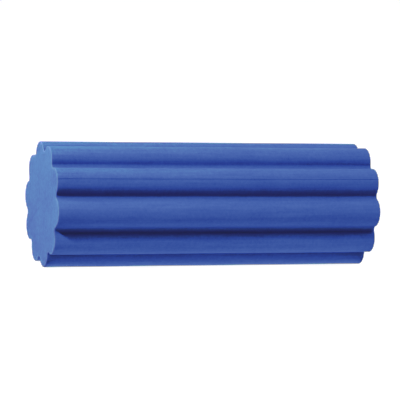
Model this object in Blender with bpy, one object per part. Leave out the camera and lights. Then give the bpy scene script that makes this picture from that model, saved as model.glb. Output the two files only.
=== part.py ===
"""A fluted massage roller of solid closed-cell foam, lying on two of its lobes.

The roller is two half-round foam slabs with a film of hot-melt adhesive between
them. The bonded block is cut to a ring of round lobes with grooves between, and
its ends are sawn square. The axis runs along X and the floor is at Z = 0.
"""

import math

import bmesh
import bpy
from mathutils import Vector

# Driving sizes of the roller, in metres
LENGTH = 0.400
CREST_DIAMETER = 0.148
LOBE_COUNT = 10
GROOVE_DEPTH = 0.0114
GROOVE_RADIUS = 0.0044
END_EDGE_RADIUS = 0.0010

# The bond between the two halves: its film, the gap to each half, and how far the
# film stops short of the surface
FILM_THICKNESS = 0.0004
SEAT_GAP = 0.0003
FILM_RECESS = 0.0003

# Where the bond comes out at the front: on this lobe, counted up from the lowest
# one, and this many degrees below the lobe's crest as seen from the axis
BOND_LOBE = 3
BOND_DROP = 2.6

# How finely the round stretches are drawn
STEPS_PER_HALF_PITCH = 2
GROOVE_STEPS = 6
END_EDGE_STEPS = 3
SHARP_ANGLE = 40

# Each lobe is an arc that runs smoothly into the grooves on both sides of it
half_pitch = math.pi / LOBE_COUNT
crest_radius = CREST_DIAMETER / 2
groove_centre = crest_radius - GROOVE_DEPTH + GROOVE_RADIUS
groove_across = groove_centre * math.sin(half_pitch)
groove_below_crest = crest_radius - groove_centre * math.cos(half_pitch)
lobe_radius = (groove_across**2 + groove_below_crest**2 - GROOVE_RADIUS**2) / (
    2 * (groove_below_crest + GROOVE_RADIUS)
)
lobe_centre = crest_radius - lobe_radius
lobe_half_angle = math.atan2(groove_across, lobe_radius - groove_below_crest)

# Angles round the axis start at the front, towards -Y, and rise towards +Z. The
# roller lies on the two lobes beside a groove that faces straight down.
lowest_front_crest = -math.pi / 2 + half_pitch
axis_height = lobe_centre * math.cos(half_pitch) + lobe_radius

# The bond is a plane through the axis
bond_angle = lowest_front_crest + 2 * half_pitch * BOND_LOBE - math.radians(BOND_DROP)
bond_normal = Vector((0, math.sin(bond_angle), math.cos(bond_angle)))


def clear_scene():
    """Takes out whatever the scene starts with."""
    for obj in list(bpy.data.objects):
        bpy.data.objects.remove(obj)


def make_material(name, colour, roughness):
    """A plain non-metal finish."""
    material = bpy.data.materials.new(name)
    material.use_nodes = True
    shader = material.node_tree.nodes["Principled BSDF"]
    shader.inputs["Base Color"].default_value = (*colour, 1.0)
    shader.inputs["Roughness"].default_value = roughness
    shader.inputs["Metallic"].default_value = 0.0
    return material


def arc(distance, place, radius, angles):
    """Points of an arc about a centre at the given distance and place round the axis."""
    for angle in angles:
        forward = distance * math.cos(place) + radius * math.cos(angle)
        up = distance * math.sin(place) + radius * math.sin(angle)
        yield -forward, axis_height + up


def outline(inset):
    """The roller's outline from the end, drawn in by inset, as (y, z) points."""
    step = half_pitch / STEPS_PER_HALF_PITCH
    reach = math.ceil(lobe_half_angle / step) - 1
    lobe_turns = [step * k for k in range(-reach, reach + 1)]
    lobe_turns = [-lobe_half_angle, *lobe_turns, lobe_half_angle]
    groove_half_angle = lobe_half_angle - half_pitch
    groove_step = 2 * groove_half_angle / GROOVE_STEPS
    groove_turns = [groove_half_angle - groove_step * k for k in range(1, GROOVE_STEPS)]
    points = []
    for lobe in range(LOBE_COUNT):
        crest = lowest_front_crest + 2 * half_pitch * lobe
        angles = [crest + turn for turn in lobe_turns]
        points += arc(lobe_centre, crest, lobe_radius - inset, angles)
        groove = crest + half_pitch
        angles = [groove + math.pi + turn for turn in groove_turns]
        points += arc(groove_centre, groove, GROOVE_RADIUS + inset, angles)
    return points


def fluted_block(inset):
    """The whole roller as one closed mesh, drawn in all over by inset."""
    mesh = bmesh.new()
    end_x = LENGTH / 2 - inset
    left_end = mesh.faces.new([mesh.verts.new((-end_x, y, z)) for y, z in outline(inset)])
    moved = bmesh.ops.extrude_face_region(mesh, geom=[left_end])["geom"]
    right_ring = [item for item in moved if isinstance(item, bmesh.types.BMVert)]
    bmesh.ops.translate(mesh, verts=right_ring, vec=(2 * end_x, 0, 0))
    bmesh.ops.recalc_face_normals(mesh, faces=mesh.faces)
    end_edges = [e for e in mesh.edges if e.verts[0].co.x == e.verts[1].co.x]
    bmesh.ops.bevel(
        mesh,
        geom=end_edges,
        offset=END_EDGE_RADIUS,
        segments=END_EDGE_STEPS,
        profile=0.5,
        affect="EDGES",
    )
    return mesh


def cut_away(mesh, distance, side):
    """Cuts parallel to the bond at a distance from it, and keeps the side 1 or -1."""
    cut = bmesh.ops.bisect_plane(
        mesh,
        geom=mesh.verts[:] + mesh.edges[:] + mesh.faces[:],
        plane_co=Vector((0, 0, axis_height)) + bond_normal * distance,
        plane_no=bond_normal * side,
        dist=1e-7,
        clear_inner=True,
    )["geom_cut"]
    rim = [item for item in cut if isinstance(item, bmesh.types.BMEdge)]
    bmesh.ops.edgeloop_fill(mesh, edges=rim)
    bmesh.ops.recalc_face_normals(mesh, faces=mesh.faces)


def add_piece(name, mesh, material):
    """Puts a finished mesh into the scene as one named piece."""
    data = bpy.data.meshes.new(name)
    mesh.to_mesh(data)
    mesh.free()
    data.materials.append(material)
    data.shade_smooth()
    data.set_sharp_from_angle(angle=math.radians(SHARP_ANGLE))
    bpy.context.scene.collection.objects.link(bpy.data.objects.new(name, data))


def add_foam_half(name, side, material):
    """The foam slab on one side of the film, the upper one 1 and the lower one -1."""
    mesh = fluted_block(0)
    cut_away(mesh, side * (FILM_THICKNESS / 2 + SEAT_GAP), side)
    add_piece(name, mesh, material)


def add_bond_film(material):
    """The adhesive between the slabs: a thin slice of a slightly smaller block."""
    mesh = fluted_block(FILM_RECESS)
    for side in (1, -1):
        cut_away(mesh, -side * FILM_THICKNESS / 2, side)
    add_piece("bond_film", mesh, material)


clear_scene()
foam = make_material("blue foam", (0.047, 0.107, 0.41), 0.8)
adhesive = make_material("dark blue adhesive", (0.018, 0.042, 0.19), 0.45)
add_foam_half("upper_foam_half", 1, foam)
add_foam_half("lower_foam_half", -1, foam)
add_bond_film(adhesive)
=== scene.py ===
"""The looks of a fluted foam massage roller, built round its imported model."""

import math

import bmesh
import bpy
from mathutils import Matrix, Vector, noise


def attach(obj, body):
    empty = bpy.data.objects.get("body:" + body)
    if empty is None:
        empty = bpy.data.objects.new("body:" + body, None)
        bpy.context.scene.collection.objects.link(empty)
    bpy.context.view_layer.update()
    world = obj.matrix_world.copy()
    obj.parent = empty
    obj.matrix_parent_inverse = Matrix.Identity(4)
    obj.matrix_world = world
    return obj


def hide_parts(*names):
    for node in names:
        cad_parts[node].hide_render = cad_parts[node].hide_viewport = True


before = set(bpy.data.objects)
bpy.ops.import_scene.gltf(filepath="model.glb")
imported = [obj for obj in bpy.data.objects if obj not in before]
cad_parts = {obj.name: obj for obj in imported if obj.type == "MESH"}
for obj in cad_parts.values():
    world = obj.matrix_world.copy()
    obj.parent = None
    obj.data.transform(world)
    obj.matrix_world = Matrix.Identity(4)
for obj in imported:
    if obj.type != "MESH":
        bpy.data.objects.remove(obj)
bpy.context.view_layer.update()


# The two foam halves. Each is half of a log of closed-cell EVA foam, blue right through,
# whose round lobes and grooves run its whole length. The two are bonded along a plane
# through the axis, and the ends are sawn square with their edges a little softened.
LENGTH = 0.400
CREST_RADIUS = 0.074
LOBE_COUNT = 10
GROOVE_DEPTH = 0.0114
GROOVE_RADIUS = 0.0044
END_EDGE_RADIUS = 0.0010
BOND_LOBE = 3
BOND_DROP = math.radians(2.6)
FILM_THICKNESS = 0.0004
FOAM_TO_FILM = 0.00002
SEAM_EDGE_RADIUS = 0.00015
FOAM_WAVINESS = 0.00016

half_pitch = math.pi / LOBE_COUNT
groove_centre = CREST_RADIUS - GROOVE_DEPTH + GROOVE_RADIUS
groove_across = groove_centre * math.sin(half_pitch)
groove_below_crest = CREST_RADIUS - groove_centre * math.cos(half_pitch)
lobe_radius = (groove_across**2 + groove_below_crest**2 - GROOVE_RADIUS**2) / (
    2 * (groove_below_crest + GROOVE_RADIUS)
)
lobe_centre = CREST_RADIUS - lobe_radius
lobe_half_angle = math.atan2(groove_across, lobe_radius - groove_below_crest)
groove_half_angle = lobe_half_angle - half_pitch
axis_height = lobe_centre * math.cos(half_pitch) + lobe_radius

# Angles round the axis start at the front and rise over the top. The bond comes out a
# little below the crest of the upper front lobe, the third above the lowest one.
lowest_front_crest = -math.pi / 2 + half_pitch
bond_angle = lowest_front_crest + 2 * half_pitch * BOND_LOBE - BOND_DROP
bond_normal = Vector((0, math.sin(bond_angle), math.cos(bond_angle)))
bond_outward = Vector((0, -math.cos(bond_angle), math.sin(bond_angle)))

# How far round the outline the bond comes out, as a share of the whole way round
bond_turn = -BOND_DROP - math.asin(lobe_centre * math.sin(BOND_DROP) / lobe_radius)
lobe_run = 2 * lobe_half_angle * lobe_radius
groove_run = 2 * groove_half_angle * GROOVE_RADIUS
run_round = LOBE_COUNT * (lobe_run + groove_run)
bond_run = BOND_LOBE * (lobe_run + groove_run) + (lobe_half_angle + bond_turn) * lobe_radius


def add_node(tree, kind, inputs=None, **settings):
    """Puts one node into a tree. Its inputs are values, or sockets to link from."""
    node = tree.nodes.new(kind)
    for key, value in settings.items():
        setattr(node, key, value)
    for key, value in (inputs or {}).items():
        if isinstance(value, bpy.types.NodeSocket):
            tree.links.new(value, node.inputs[key])
        else:
            node.inputs[key].default_value = value
    return node


def work_out(tree, operation, *terms):
    """The result of one Math node."""
    inputs = dict(enumerate(terms))
    return add_node(tree, "ShaderNodeMath", inputs, operation=operation).outputs[0]


def work_out_vector(tree, operation, *terms, scale=None):
    """The result of one Vector Math node: a number for a dot product or a length."""
    inputs = dict(enumerate(terms))
    if scale is not None:
        inputs["Scale"] = scale
    node = add_node(tree, "ShaderNodeVectorMath", inputs, operation=operation)
    return node.outputs["Value" if operation in ("DOT_PRODUCT", "LENGTH") else "Vector"]


def soften(tree, value, low, high, low_result=0.0, high_result=1.0):
    """Eases a value from one result to another between two limits."""
    inputs = {
        "Value": value,
        "From Min": low,
        "From Max": high,
        "To Min": low_result,
        "To Max": high_result,
    }
    node = add_node(
        tree, "ShaderNodeMapRange", inputs, interpolation_type="SMOOTHSTEP", clamp=True
    )
    return node.outputs[0]


def fluted_half_tree():
    """A tree that sweeps half of the fluted outline along the roller."""
    tree = bpy.data.node_groups.new("fluted foam half", "GeometryNodeTree")
    tree.is_modifier = True
    for name, kind in (
        ("Length", "Float"),
        ("Lobe count", "Int"),
        ("Lobe centre", "Float"),
        ("Lobe radius", "Float"),
        ("Lobe half angle", "Float"),
        ("Groove centre", "Float"),
        ("Groove radius", "Float"),
        ("Lowest front crest", "Float"),
        ("Axis height", "Float"),
        ("Bond place", "Float"),
        ("Bond normal", "Vector"),
        ("Bond outward", "Vector"),
        ("Bond gap", "Float"),
        ("Seam edge radius", "Float"),
        ("End edge radius", "Float"),
        ("Waviness", "Float"),
        ("Seed", "Float"),
        ("Foam", "Material"),
    ):
        tree.interface.new_socket(name, in_out="INPUT", socket_type="NodeSocket" + kind)
    tree.interface.new_socket("Geometry", in_out="OUTPUT", socket_type="NodeSocketGeometry")
    given = tree.nodes.new("NodeGroupInput").outputs
    index = tree.nodes.new("GeometryNodeInputIndex").outputs[0]

    # The whole outline, one point after another: each lobe's arc, then its groove's
    lobe_steps = 96
    groove_steps = 24
    steps = lobe_steps + groove_steps
    half = work_out(tree, "DIVIDE", math.pi, given["Lobe count"])
    pitch = work_out(tree, "MULTIPLY", half, 2)
    lobe = work_out(tree, "DIVIDE", work_out(tree, "ADD", index, 0.5), steps)
    lobe = work_out(tree, "FLOOR", lobe)
    step = work_out(tree, "SUBTRACT", index, work_out(tree, "MULTIPLY", lobe, steps))
    in_groove = work_out(tree, "GREATER_THAN", step, lobe_steps + 0.5)
    crest = work_out(tree, "MULTIPLY_ADD", lobe, pitch, given["Lowest front crest"])
    lobe_share = work_out(tree, "MULTIPLY_ADD", step, 2 / lobe_steps, -1)
    lobe_angle = work_out(tree, "MULTIPLY_ADD", lobe_share, given["Lobe half angle"], crest)
    past_lobe = work_out(tree, "SUBTRACT", step, lobe_steps)
    groove_share = work_out(tree, "MULTIPLY_ADD", past_lobe, -2 / groove_steps, 1)
    groove_half = work_out(tree, "SUBTRACT", given["Lobe half angle"], half)
    groove_place = work_out(tree, "ADD", crest, half)
    groove_angle = work_out(tree, "MULTIPLY_ADD", groove_share, groove_half, groove_place)
    groove_angle = work_out(tree, "ADD", groove_angle, math.pi)
    pairs = (
        (crest, groove_place),
        (lobe_angle, groove_angle),
        (given["Lobe centre"], given["Groove centre"]),
        (given["Lobe radius"], given["Groove radius"]),
    )
    place, angle, distance, radius = (
        add_node(
            tree,
            "GeometryNodeSwitch",
            {"Switch": in_groove, "False": on_lobe, "True": on_groove},
            input_type="FLOAT",
        ).outputs[0]
        for on_lobe, on_groove in pairs
    )

    def arm(kind):
        """The arc point's sine or cosine side: its centre's part and its radius's part."""
        centre = work_out(tree, "MULTIPLY", distance, work_out(tree, kind, place))
        return work_out(tree, "MULTIPLY_ADD", radius, work_out(tree, kind, angle), centre)

    outline_y = work_out(tree, "MULTIPLY", arm("COSINE"), -1)
    outline_z = work_out(tree, "ADD", arm("SINE"), given["Axis height"])
    outline_point = add_node(tree, "ShaderNodeCombineXYZ", {"Y": outline_y, "Z": outline_z})
    outline_count = work_out(tree, "MULTIPLY", given["Lobe count"], steps)
    ring = add_node(tree, "GeometryNodeCurvePrimitiveCircle", {"Resolution": outline_count})
    outline = add_node(
        tree,
        "GeometryNodeSetPosition",
        {"Geometry": ring.outputs["Curve"], "Position": outline_point.outputs[0]},
    )

    def count_from_ends(last):
        """How far a point is from the nearer end of its row, and 1 or -1 for which end."""
        steps_off = work_out(tree, "MINIMUM", index, work_out(tree, "SUBTRACT", last, index))
        near_start = work_out(tree, "LESS_THAN", index, (last + 1) / 2)
        return steps_off, work_out(tree, "MULTIPLY_ADD", near_start, 2, -1)

    def short_of_radius(kind, rounding, turn):
        """How far a rounded edge's arc is short of its radius, by sine or cosine."""
        arc = work_out(tree, "MULTIPLY", rounding, work_out(tree, kind, turn))
        return work_out(tree, "SUBTRACT", rounding, arc)

    # Half of it, from one end of the bond to the other, with both seam edges rounded
    corner_steps = 4
    half_points = 329
    from_end, side = count_from_ends(half_points - 1)
    quarter = work_out(tree, "MINIMUM", work_out(tree, "DIVIDE", from_end, corner_steps), 1)
    quarter = work_out(tree, "MULTIPLY", quarter, math.pi / 2)
    rounding = given["Seam edge radius"]
    corner_reach = short_of_radius("COSINE", rounding, quarter)
    corner_sink = short_of_radius("SINE", rounding, quarter)
    off_bond = work_out(tree, "ADD", corner_reach, given["Bond gap"])
    whole_reach = work_out(tree, "ADD", rounding, given["Bond gap"])
    along_share = add_node(
        tree,
        "ShaderNodeMapRange",
        {"Value": index, "From Min": corner_steps, "From Max": half_points - 1 - corner_steps},
        clamp=True,
    ).outputs[0]
    round_length = add_node(tree, "GeometryNodeCurveLength", {"Curve": outline.outputs[0]})
    half_round = work_out(tree, "MULTIPLY", round_length.outputs[0], 0.5)
    free_run = work_out(tree, "SUBTRACT", half_round, work_out(tree, "MULTIPLY", whole_reach, 2))
    run = work_out(tree, "MULTIPLY_ADD", along_share, free_run, whole_reach)
    short_of = work_out(tree, "SUBTRACT", whole_reach, off_bond)
    run = work_out(tree, "SUBTRACT", run, work_out(tree, "MULTIPLY", side, short_of))
    share = work_out(tree, "DIVIDE", run, work_out(tree, "MULTIPLY", half_round, 2))
    share = work_out(tree, "FRACT", work_out(tree, "ADD", share, given["Bond place"]))
    on_outline = add_node(
        tree,
        "GeometryNodeSampleCurve",
        {"Curves": outline.outputs[0], "Factor": share},
        mode="FACTOR",
    )
    tangent = on_outline.outputs["Tangent"]
    square_out = work_out_vector(tree, "CROSS_PRODUCT", tangent, (-1, 0, 0))
    axis_point = add_node(tree, "ShaderNodeCombineXYZ", {"Z": given["Axis height"]}).outputs[0]
    from_axis = work_out_vector(tree, "SUBTRACT", on_outline.outputs["Position"], axis_point)
    to_bond = work_out_vector(tree, "DOT_PRODUCT", from_axis, given["Bond normal"])
    at_seam = work_out(tree, "LESS_THAN", from_end, corner_steps + 0.5)
    shift = work_out(tree, "MULTIPLY", work_out(tree, "SUBTRACT", off_bond, to_bond), at_seam)
    along_bond = work_out_vector(tree, "SCALE", given["Bond outward"], scale=side)
    out_way = add_node(
        tree,
        "GeometryNodeSwitch",
        {"Switch": at_seam, "False": square_out, "True": along_bond},
        input_type="VECTOR",
    ).outputs[0]
    onto_bond = work_out_vector(tree, "SCALE", given["Bond normal"], scale=shift)
    half_point = work_out_vector(tree, "ADD", on_outline.outputs["Position"], onto_bond)
    corner_sink = work_out(tree, "MULTIPLY", corner_sink, at_seam)
    corner_cut = work_out_vector(tree, "SCALE", out_way, scale=corner_sink)
    half_point = work_out_vector(tree, "SUBTRACT", half_point, corner_cut)
    profile = add_node(tree, "GeometryNodeCurvePrimitiveCircle", {"Resolution": half_points})
    kept = tree.nodes.new("GeometryNodeCaptureAttribute")
    for name in ("Point", "Outward"):
        kept.capture_items.new("VECTOR", name)
    tree.links.new(profile.outputs["Curve"], kept.inputs["Geometry"])
    tree.links.new(half_point, kept.inputs["Point"])
    tree.links.new(out_way, kept.inputs["Outward"])

    # Where the rings stand along the roller, with the end edges rounded. The first and the
    # last ring lie on the flat end, a narrow band in from the rounded edge.
    edge_steps = 4
    rings = 151
    end_band = 0.0016
    from_end, side = count_from_ends(rings - 1)
    edge_share = add_node(
        tree,
        "ShaderNodeMapRange",
        {"Value": from_end, "From Min": 1.0, "From Max": 1.0 + edge_steps},
        clamp=True,
    ).outputs[0]
    quarter = work_out(tree, "MULTIPLY", edge_share, math.pi / 2)
    rounding = given["End edge radius"]
    end_sink = short_of_radius("SINE", rounding, quarter)
    on_end = work_out(tree, "LESS_THAN", from_end, 0.5)
    draw_in = work_out(tree, "MULTIPLY_ADD", on_end, end_band, end_sink)
    past_edge = work_out(tree, "MULTIPLY", rounding, work_out(tree, "COSINE", quarter))
    ring_share = add_node(
        tree,
        "ShaderNodeMapRange",
        {
            "Value": index,
            "From Min": edge_steps + 1,
            "From Max": rings - 2 - edge_steps,
            "To Min": -1.0,
        },
        clamp=True,
    ).outputs[0]
    half_length = work_out(tree, "MULTIPLY", given["Length"], 0.5)
    body_half = work_out(tree, "SUBTRACT", half_length, rounding)
    ring_x = work_out(tree, "MULTIPLY", ring_share, body_half)
    ring_x = work_out(tree, "SUBTRACT", ring_x, work_out(tree, "MULTIPLY", side, past_edge))
    line = add_node(tree, "GeometryNodeCurvePrimitiveLine", {"End": (1.0, 0.0, 0.0)})
    rail = add_node(tree, "GeometryNodeResampleCurve", {"Curve": line.outputs[0], "Count": rings})
    off_flat = work_out(tree, "SUBTRACT", 1.0, on_end)
    by_edge = work_out(tree, "LESS_THAN", from_end, edge_steps + 1.5)
    on_rim = work_out(tree, "MULTIPLY", off_flat, by_edge)
    stations = tree.nodes.new("GeometryNodeCaptureAttribute")
    for name in ("Along", "Draw in", "Rim"):
        stations.capture_items.new("FLOAT", name)
    tree.links.new(rail.outputs[0], stations.inputs["Geometry"])
    tree.links.new(ring_x, stations.inputs["Along"])
    tree.links.new(draw_in, stations.inputs["Draw in"])
    tree.links.new(on_rim, stations.inputs["Rim"])

    # The swept half, a little wavy as soft foam is, but not along its bond
    swept = add_node(
        tree,
        "GeometryNodeCurveToMesh",
        {
            "Curve": stations.outputs["Geometry"],
            "Profile Curve": kept.outputs["Geometry"],
            "Fill Caps": True,
        },
    )
    outward = kept.outputs["Outward"]
    drawn_in = work_out_vector(tree, "SCALE", outward, scale=stations.outputs["Draw in"])
    body_point = work_out_vector(tree, "SUBTRACT", kept.outputs["Point"], drawn_in)
    along = add_node(tree, "ShaderNodeCombineXYZ", {"X": stations.outputs["Along"]}).outputs[0]
    body_point = work_out_vector(tree, "ADD", body_point, along)
    waves_per_metre = 45.0
    drawn_out = (0.22, 1.0, 1.0)
    wave_place = work_out_vector(tree, "MULTIPLY", body_point, drawn_out)
    waves = add_node(
        tree,
        "ShaderNodeTexNoise",
        {"Vector": wave_place, "W": given["Seed"], "Scale": waves_per_metre, "Detail": 2.0},
        noise_dimensions="4D",
    ).outputs[0]
    from_axis = work_out_vector(tree, "SUBTRACT", body_point, axis_point)
    to_bond = work_out_vector(tree, "DOT_PRODUCT", from_axis, given["Bond normal"])
    flat_by_bond = 0.001
    wavy_from_bond = 0.006
    free = soften(tree, to_bond, flat_by_bond, wavy_from_bond)
    height = work_out(tree, "MULTIPLY", work_out(tree, "SUBTRACT", waves, 0.5), 2)
    height = work_out(tree, "MULTIPLY", height, free)
    height = work_out(tree, "MULTIPLY", height, given["Waviness"])
    lift = work_out_vector(tree, "SCALE", outward, scale=height)
    wavy_point = work_out_vector(tree, "ADD", body_point, lift)
    shaped = add_node(
        tree,
        "GeometryNodeSetPosition",
        {"Geometry": swept.outputs[0], "Position": wavy_point},
    )
    marked = add_node(
        tree,
        "GeometryNodeStoreNamedAttribute",
        {"Geometry": shaped.outputs[0], "Name": "rim", "Value": stations.outputs["Rim"]},
    )
    faced_out = add_node(tree, "GeometryNodeFlipFaces", {"Mesh": marked.outputs[0]})
    real = add_node(tree, "GeometryNodeRealizeInstances", {"Geometry": faced_out.outputs[0]})
    finished = add_node(
        tree, "GeometryNodeSetMaterial", {"Geometry": real.outputs[0], "Material": given["Foam"]}
    )
    add_node(tree, "NodeGroupOutput", {"Geometry": finished.outputs[0]})
    return tree


def speckle(tree, where, size, detail=2.0, stretch=(1.0, 1.0, 1.0), offset=(0.0, 0.0, 0.0)):
    """Noise about zero whose blobs are size across, drawn out along an axis by its stretch."""
    shrink = tuple(1 / (size * share) for share in stretch)
    placing = {"Vector": where, "Location": offset, "Scale": shrink}
    place = add_node(tree, "ShaderNodeMapping", placing).outputs[0]
    inputs = {"Vector": place, "Scale": 1.0, "Detail": detail, "Roughness": 0.55}
    noise_value = add_node(tree, "ShaderNodeTexNoise", inputs).outputs[0]
    return work_out(tree, "SUBTRACT", noise_value, 0.5)


# The foam's colours, the sizes of its patterns in metres, and its gloss and relief
DARK_FOAM = (0.0538, 0.0933, 0.298, 1.0)
LIGHT_FOAM = (0.0849, 0.1460, 0.432, 1.0)
# Painted shade on the end faces: their colour is dimmed in green and blue, and lifted a little in
# red
END_FACE_PAINTED_SHADE = (0.03, -0.055, -0.040)
# A painted highlight on the rim round each end
RIM_PAINTED_HIGHLIGHT = (0.018, 0.018, 0.018)
CELL_SIZE = 0.0011
MEAN_CELL = 0.45
GRAIN_SIZE = 0.0015
MOTTLE_SIZE = 0.0038
SIDE_MOTTLE = 0.70
EXTRA_END_MOTTLE = 0.22
PATCH_SIZE = 0.045
STREAK_WIDTH = 0.0028
STREAK_STRETCH = 22.0
SAW_MARK_WIDTH = 0.0045
SAW_MARK_STRETCH = 12.0
# Painted shade in the grooves: how much, and the radii where it begins and where it is full
GROOVE_PAINTED_SHADE = 0.21
GROOVE_PAINTED_SHADE_BEGINS = 0.0710
GROOVE_PAINTED_SHADE_IS_FULL = 0.0630
BOND_STRIP_EDGE = 0.0024
BOND_STRIP_MIDDLE = 0.0006
BOND_STRIP_BEGINS = 0.070
BOND_STRIP_IS_FULL = 0.072
# Painted shade along the bond, and how it changes along the roller
BOND_PAINTED_SHADE = -0.10
BOND_PAINTED_SHADE_PER_METRE = 1.0
FOAM_ROUGHNESS = 0.78
MOTTLED_ROUGHNESS = 0.25
FOAM_SPECULAR = 0.02
FOAM_RELIEF = 0.00008


def foam_material():
    """Closed-cell EVA foam: matt, with fine cells, a mottle and streaks along its sides."""
    material = bpy.data.materials.new("blue EVA foam")
    material.use_nodes = True
    tree = material.node_tree
    shader = tree.nodes["Principled BSDF"]
    where = add_node(tree, "ShaderNodeTexCoord").outputs["Object"]

    # The sawn ends, told from the fluted sides over the last millimetre, and the rim round each
    # end, which gets a painted highlight
    end_x = LENGTH / 2
    x = add_node(tree, "ShaderNodeSeparateXYZ", {"Vector": where}).outputs["X"]
    from_middle = work_out(tree, "ABSOLUTE", x)
    on_end = soften(tree, from_middle, end_x - 0.0009, end_x - 0.0001)
    on_side = work_out(tree, "SUBTRACT", 1.0, on_end)
    near_rim = soften(tree, from_middle, end_x - 0.0014, end_x - 0.0005)
    rim = add_node(tree, "ShaderNodeAttribute", attribute_name="rim").outputs["Fac"]
    rim = work_out(tree, "MULTIPLY", rim, near_rim)

    # How deep in a groove, and the strip on both sides of the bond along the sides: both get
    # painted shade
    from_axis = work_out_vector(tree, "SUBTRACT", where, (0.0, 0.0, axis_height))
    across = work_out_vector(tree, "MULTIPLY", from_axis, (0.0, 1.0, 1.0))
    radial = work_out_vector(tree, "LENGTH", across)
    in_groove = soften(tree, radial, GROOVE_PAINTED_SHADE_BEGINS, GROOVE_PAINTED_SHADE_IS_FULL, 0.0, GROOVE_PAINTED_SHADE)
    in_groove = work_out(tree, "MULTIPLY", in_groove, on_side)
    off_bond = work_out_vector(tree, "DOT_PRODUCT", from_axis, tuple(bond_normal))
    off_bond = work_out(tree, "ABSOLUTE", off_bond)
    by_bond = soften(tree, off_bond, BOND_STRIP_EDGE, BOND_STRIP_MIDDLE)
    near_surface = soften(tree, radial, BOND_STRIP_BEGINS, BOND_STRIP_IS_FULL)
    by_bond = work_out(tree, "MULTIPLY", by_bond, near_surface)
    by_bond = work_out(tree, "MULTIPLY", by_bond, on_side)

    # Fine cells and a mottle everywhere, streaks along the sides, saw marks down the ends,
    # each a value about zero
    cells = add_node(
        tree,
        "ShaderNodeTexVoronoi",
        {"Vector": where, "Scale": 1 / CELL_SIZE, "Randomness": 1.0},
        feature="SMOOTH_F1",
    ).outputs["Distance"]
    cells = work_out(tree, "SUBTRACT", cells, MEAN_CELL)
    grain = speckle(tree, where, GRAIN_SIZE)
    mottle = speckle(tree, where, MOTTLE_SIZE, offset=(3.1, 5.7, 1.3))
    patches = speckle(tree, where, PATCH_SIZE, offset=(7.3, 2.2, 4.9))
    along_roller = (STREAK_STRETCH, 1.0, 1.0)
    streaks = speckle(tree, where, STREAK_WIDTH, detail=3.0, stretch=along_roller)
    streaks = work_out(tree, "MULTIPLY", streaks, on_side)
    upright = (1.0, 1.0, SAW_MARK_STRETCH)
    saw = speckle(
        tree, where, SAW_MARK_WIDTH, detail=3.0, stretch=upright, offset=(1.7, 0.0, 2.6)
    )
    saw = work_out(tree, "MULTIPLY", saw, on_end)

    # The tone runs from the dark foam at 0 to the light foam at 1, with 0.5 as its middle
    mottle_strength = work_out(tree, "MULTIPLY_ADD", on_end, EXTRA_END_MOTTLE, SIDE_MOTTLE)
    tone = 0.5
    for pattern, strength in (
        (grain, 0.55),
        (mottle, mottle_strength),
        (patches, 0.45),
        (streaks, 0.80),
        (saw, 0.35),
    ):
        tone = work_out(tree, "MULTIPLY_ADD", pattern, strength, tone)
    # Painted shade by the bond: darker at the left end, and a little lighter at the right one
    bond_painted_shade = work_out(tree, "MULTIPLY_ADD", x, BOND_PAINTED_SHADE_PER_METRE, BOND_PAINTED_SHADE)
    tone = work_out(tree, "MULTIPLY_ADD", by_bond, bond_painted_shade, tone)
    colour = add_node(
        tree, "ShaderNodeMix", {"Factor": tone, 6: DARK_FOAM, 7: LIGHT_FOAM}, data_type="RGBA"
    ).outputs[2]
    # Painted shade: the colour is darker deep in the grooves, though not on the ends
    shade = work_out(tree, "SUBTRACT", 1.0, in_groove)
    colour = work_out_vector(tree, "SCALE", colour, scale=shade)
    # Painted shade on the end faces: less green and blue, a little more red
    end_face_shade = work_out_vector(tree, "SCALE", END_FACE_PAINTED_SHADE, scale=on_end)
    end_face_shade = work_out_vector(tree, "ADD", (1.0, 1.0, 1.0), end_face_shade)
    colour = work_out_vector(tree, "MULTIPLY", colour, end_face_shade)
    # A painted highlight lightens the rim round each end
    rim_painted_highlight = work_out_vector(tree, "SCALE", RIM_PAINTED_HIGHLIGHT, scale=rim)
    colour = work_out_vector(tree, "ADD", colour, rim_painted_highlight)
    tree.links.new(colour, shader.inputs["Base Color"])
    roughness = work_out(tree, "MULTIPLY_ADD", mottle, MOTTLED_ROUGHNESS, FOAM_ROUGHNESS)
    tree.links.new(roughness, shader.inputs["Roughness"])
    shader.inputs["Specular IOR Level"].default_value = FOAM_SPECULAR

    # The same patterns as relief, each with its share of the relief's height
    height = 0.0
    for pattern, share in (
        (cells, 0.9),
        (grain, 1.2),
        (mottle, 0.8),
        (streaks, 0.95),
        (saw, 1.2),
    ):
        height = work_out(tree, "MULTIPLY_ADD", pattern, share, height)
    relief = {"Height": height, "Distance": FOAM_RELIEF, "Strength": 1.0}
    bump = add_node(tree, "ShaderNodeBump", relief)
    tree.links.new(bump.outputs[0], shader.inputs["Normal"])
    return material


SHARPEST_SMOOTH_EDGE = math.radians(40)


def put_in_scene(name, contents):
    """A new object in the scene, round a mesh, a camera or a light."""
    thing = bpy.data.objects.new(name, contents)
    bpy.context.scene.collection.objects.link(thing)
    return thing


def smooth_over(mesh):
    """Shades a mesh smooth, but for its sharper edges."""
    mesh.shade_smooth()
    mesh.set_sharp_from_angle(angle=SHARPEST_SMOOTH_EDGE)


def make_piece(name, tree, values):
    """Runs a tree with the given inputs and keeps its result as a plain mesh."""
    maker = put_in_scene(name + "_maker", bpy.data.meshes.new(name + "_maker"))
    modifier = maker.modifiers.new("shape", "NODES")
    modifier.node_group = tree
    for item in tree.interface.items_tree:
        if item.in_out == "INPUT":
            modifier[item.identifier] = values[item.name]
    graph = bpy.context.evaluated_depsgraph_get()
    mesh = bpy.data.meshes.new_from_object(maker.evaluated_get(graph), depsgraph=graph)
    mesh.name = name
    bpy.data.objects.remove(maker)
    smooth_over(mesh)
    return put_in_scene(name, mesh)


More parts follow.
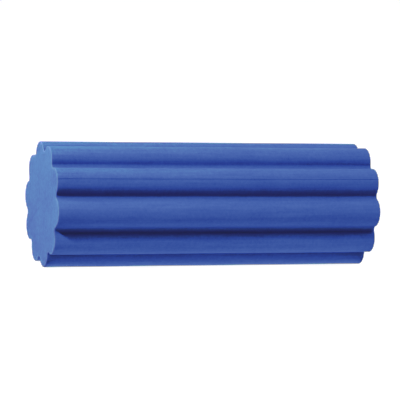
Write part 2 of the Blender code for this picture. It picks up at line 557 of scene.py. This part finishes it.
foam = foam_material()
fluted_half = fluted_half_tree()
for name, node, side, seed in (
    ("upper_foam", "upper_foam_half", 1, 3.7),
    ("lower_foam", "lower_foam_half", -1, 8.2),
):
    half_foam = make_piece(
        name,
        fluted_half,
        {
            "Length": LENGTH,
            "Lobe count": LOBE_COUNT,
            "Lobe centre": lobe_centre,
            "Lobe radius": lobe_radius,
            "Lobe half angle": lobe_half_angle,
            "Groove centre": groove_centre,
            "Groove radius": GROOVE_RADIUS,
            "Lowest front crest": lowest_front_crest,
            "Axis height": axis_height,
            "Bond place": bond_run / run_round + (0.0 if side == 1 else 0.5),
            "Bond normal": bond_normal * side,
            "Bond outward": bond_outward * side,
            "Bond gap": FILM_THICKNESS / 2 + FOAM_TO_FILM,
            "Seam edge radius": SEAM_EDGE_RADIUS,
            "End edge radius": END_EDGE_RADIUS,
            "Waviness": FOAM_WAVINESS,
            "Seed": seed,
            "Foam": foam,
        },
    )
    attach(half_foam, "root")
    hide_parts(node)


# The bond film: hot-melt adhesive that was pressed out between the halves, so its edge
# is uneven. It is darker than the foam and stops just under the surface.
ADHESIVE_BLUE = (0.052, 0.100, 0.335, 1.0)
FILM_RECESS = 0.00006
FILM_RAGGEDNESS = 0.00008
FILM_RAGS_PER_METRE = 160
FILM_EDGE_ROUNDING = 0.00015

film_material = bpy.data.materials.new("dark blue adhesive")
film_material.use_nodes = True
film_shader = film_material.node_tree.nodes["Principled BSDF"]
film_shader.inputs["Base Color"].default_value = ADHESIVE_BLUE
film_shader.inputs["Roughness"].default_value = 0.6
film_shader.inputs["Specular IOR Level"].default_value = 0.1

bond_point = Vector((0, 0, axis_height))
bond_reach = lobe_centre * math.cos(BOND_DROP) + math.sqrt(
    lobe_radius**2 - (lobe_centre * math.sin(BOND_DROP)) ** 2
)
film_mesh = bmesh.new()
film_rings = []
film_cuts = 200
for k in range(film_cuts + 1):
    x = (k / film_cuts - 0.5) * (LENGTH - 2 * FILM_RECESS)
    ring = []
    for side in (1, -1):
        rag_place = Vector((x * FILM_RAGS_PER_METRE, side * 9.0, 2.5))
        rag = noise.noise(rag_place) * FILM_RAGGEDNESS
        reach = bond_reach - FILM_RECESS - FILM_RAGGEDNESS + rag
        for across, shrink in (
            (-side, FILM_EDGE_ROUNDING),
            (-side * 0.5, 0.0),
            (side * 0.5, 0.0),
            (side, FILM_EDGE_ROUNDING),
        ):
            outwards = bond_outward * side * (reach - shrink)
            upwards = bond_normal * across * FILM_THICKNESS / 2
            spot = outwards + upwards
            ring.append(film_mesh.verts.new(bond_point + spot + Vector((x, 0, 0))))
    film_rings.append(ring)
for near, far in zip(film_rings, film_rings[1:]):
    for k in range(len(near)):
        film_mesh.faces.new((near[k - 1], near[k], far[k], far[k - 1]))
film_mesh.faces.new(film_rings[0])
film_mesh.faces.new(film_rings[-1])
bmesh.ops.recalc_face_normals(film_mesh, faces=film_mesh.faces)
film_data = bpy.data.meshes.new("adhesive_film")
film_mesh.to_mesh(film_data)
film_mesh.free()
film_data.materials.append(film_material)
smooth_over(film_data)
film = put_in_scene("adhesive_film", film_data)
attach(film, "root")
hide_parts("bond_film")


# The camera stands to the left of the roller's front and a little above it, and is
# turned so that the roller lies level in the picture.
CAMERA_YAW = math.radians(19.425)
CAMERA_TILT = math.radians(0.0556)
ROLLER_TURN = math.radians(10.37)
LEFT_END_IN_CAMERA = Vector((-0.18533, -0.00478, -2.65949))

seen_along = Vector(
    (
        math.cos(CAMERA_YAW) * math.cos(CAMERA_TILT),
        math.sin(CAMERA_TILT),
        -math.sin(CAMERA_YAW) * math.cos(CAMERA_TILT),
    )
)
seen_up = (Vector((0, 1, 0)) - seen_along * seen_along.y).normalized()
seen = Matrix((seen_along, seen_up, seen_along.cross(seen_up)))
along = Vector((1, 0, 0))
up = Vector((0, math.sin(ROLLER_TURN), math.cos(ROLLER_TURN)))
own = Matrix((along, up, along.cross(up)))
camera_turn = own.transposed() @ seen
camera = put_in_scene("camera", bpy.data.cameras.new("camera"))
camera.data.sensor_width = 36
camera.data.lens = 204.8
camera.data.clip_start = 0.1
camera.data.clip_end = 100
camera_place = Vector((-LENGTH / 2, 0, axis_height)) - camera_turn @ LEFT_END_IN_CAMERA
camera.matrix_world = Matrix.Translation(camera_place) @ camera_turn.to_4x4()
bpy.context.scene.camera = camera


# The stage: a plain white floor that only the camera sees, and soft studio lights. Cards
# that lie on the floor round the roller throw light up at it, as a white table would.
floor_mesh = bmesh.new()
bmesh.ops.create_grid(floor_mesh, x_segments=1, y_segments=1, size=12)
floor_data = bpy.data.meshes.new("floor")
floor_mesh.to_mesh(floor_data)
floor_mesh.free()
floor = put_in_scene("floor", floor_data)
floor.visible_diffuse = False
floor.visible_glossy = False
floor_material = bpy.data.materials.new("white floor")
floor_material.use_nodes = True
floor_shader = floor_material.node_tree.nodes["Principled BSDF"]
floor_shader.inputs["Base Color"].default_value = (0.1, 0.1, 0.1, 1.0)
floor_shader.inputs["Roughness"].default_value = 1.0
floor_shader.inputs["Specular IOR Level"].default_value = 0.0
floor_shader.inputs["Emission Color"].default_value = (1.0, 1.0, 1.0, 1.0)
floor_shader.inputs["Emission Strength"].default_value = 1.0
floor_data.materials.append(floor_material)


CARD_HEIGHT = 0.0002


def add_floor_card(name, x, y, width, depth, brightness):
    """A glowing card on the floor, facing up, of that brightness."""
    card = put_in_scene(name, bpy.data.lights.new(name, "AREA"))
    card.data.shape = "RECTANGLE"
    card.data.size = width
    card.data.size_y = depth
    card.data.energy = brightness * math.pi * width * depth
    card.location = (x, y, CARD_HEIGHT)
    card.rotation_euler = (math.pi, 0, 0)
    card.visible_camera = False


def add_soft_light(name, round_axis, to_left, distance, width, height, brightness):
    """An oval soft light that faces the roller. Its place is an angle round the axis, from
    the front over the top, and an angle to the left. A white surface that faces it gets
    that brightness."""
    turn = math.radians(round_axis)
    slant = math.radians(to_left)
    way = Vector(
        (-math.sin(slant), -math.cos(turn) * math.cos(slant), math.sin(turn) * math.cos(slant))
    )
    light = put_in_scene(name, bpy.data.lights.new(name, "AREA"))
    light.data.shape = "ELLIPSE"
    light.data.size = width
    light.data.size_y = height
    light.data.energy = brightness * math.pi**2 * distance**2
    light.location = Vector((0, 0, axis_height)) + way * distance
    light.rotation_mode = "QUATERNION"
    light.rotation_quaternion = way.to_track_quat("Z", "Y")
    light.visible_camera = False


for name, x, y, width, depth, brightness in (
    ("under_card", 0.0, 0.0, 0.41, 0.028, 1.5),
    ("front_card_1", 0.0, -0.0293, 0.40, 0.0115, 1.45),
    ("front_card_2", 0.0, -0.0475, 0.40, 0.0240, 0.92),
    ("front_card_3", 0.0, -0.0800, 0.50, 0.0400, 1.42),
    ("front_card_4", 0.0, -0.1250, 0.56, 0.0500, 1.20),
    ("front_card_5", 0.0, -0.2000, 0.56, 0.1000, 1.60),
    ("near_back_card", 0.0, 0.04, 0.42, 0.039, 0.9),
    ("back_card", 0.0, 0.155, 0.40, 0.19, 1.2),
    ("right_card", 0.44, -0.20, 0.30, 0.30, 1.30),
):
    add_floor_card(name, x, y, width, depth, brightness)
for name, round_axis, to_left, distance, width, height, brightness in (
    ("key_light", 68.3, 46, 2.0, 0.25, 0.25, 1.07),
    ("low_left_light", 55, 39, 2.0, 0.8, 0.8, 0.07),
    ("low_right_light", 60, -30, 2.0, 0.8, 0.8, 0.50),
    ("right_back_light", 142, -30, 2.0, 0.9, 0.9, 0.18),
    ("middle_back_light", 150, 5, 2.0, 0.9, 0.9, 0.11),
    ("left_back_light", 160, 42, 2.0, 0.9, 0.9, 0.56),
    ("near_left_light", 96, 62, 1.05, 0.4, 0.4, 0.43),
    ("right_end_light", 150, -80, 2.0, 0.9, 0.9, 1.00),
):
    add_soft_light(name, round_axis, to_left, distance, width, height, brightness)

# The world is as white as the floor, and it too gives no light to the roller
world = bpy.data.worlds.new("studio")
bpy.context.scene.world = world
world.use_nodes = True
background = world.node_tree.nodes["Background"]
background.inputs["Color"].default_value = (1.0, 1.0, 1.0, 1.0)
background.inputs["Strength"].default_value = 1.0
world.cycles_visibility.diffuse = False
world.cycles_visibility.glossy = False

# The picture has a product photo's contrast: deeper shade and softer lights. Each pair is
# a light in the scene and the light that shows for it.
view = bpy.context.scene.view_settings
view.view_transform = "Standard"
view.use_curve_mapping = True
tones = view.curve_mapping.curves[3]
tones.points[0].location = (0.0, 0.004)
for seen_light, shown_light in (
    (0.016, 0.0142),
    (0.030, 0.0178),
    (0.045, 0.0253),
    (0.065, 0.0437),
    (0.10, 0.0819),
    (0.17, 0.1603),
    (0.24, 0.292),
    (0.32, 0.3517),
    (0.45, 0.4248),
    (0.60, 0.515),
    (0.78, 0.690),
):
    tones.points.new(seen_light, shown_light)
view.curve_mapping.update()
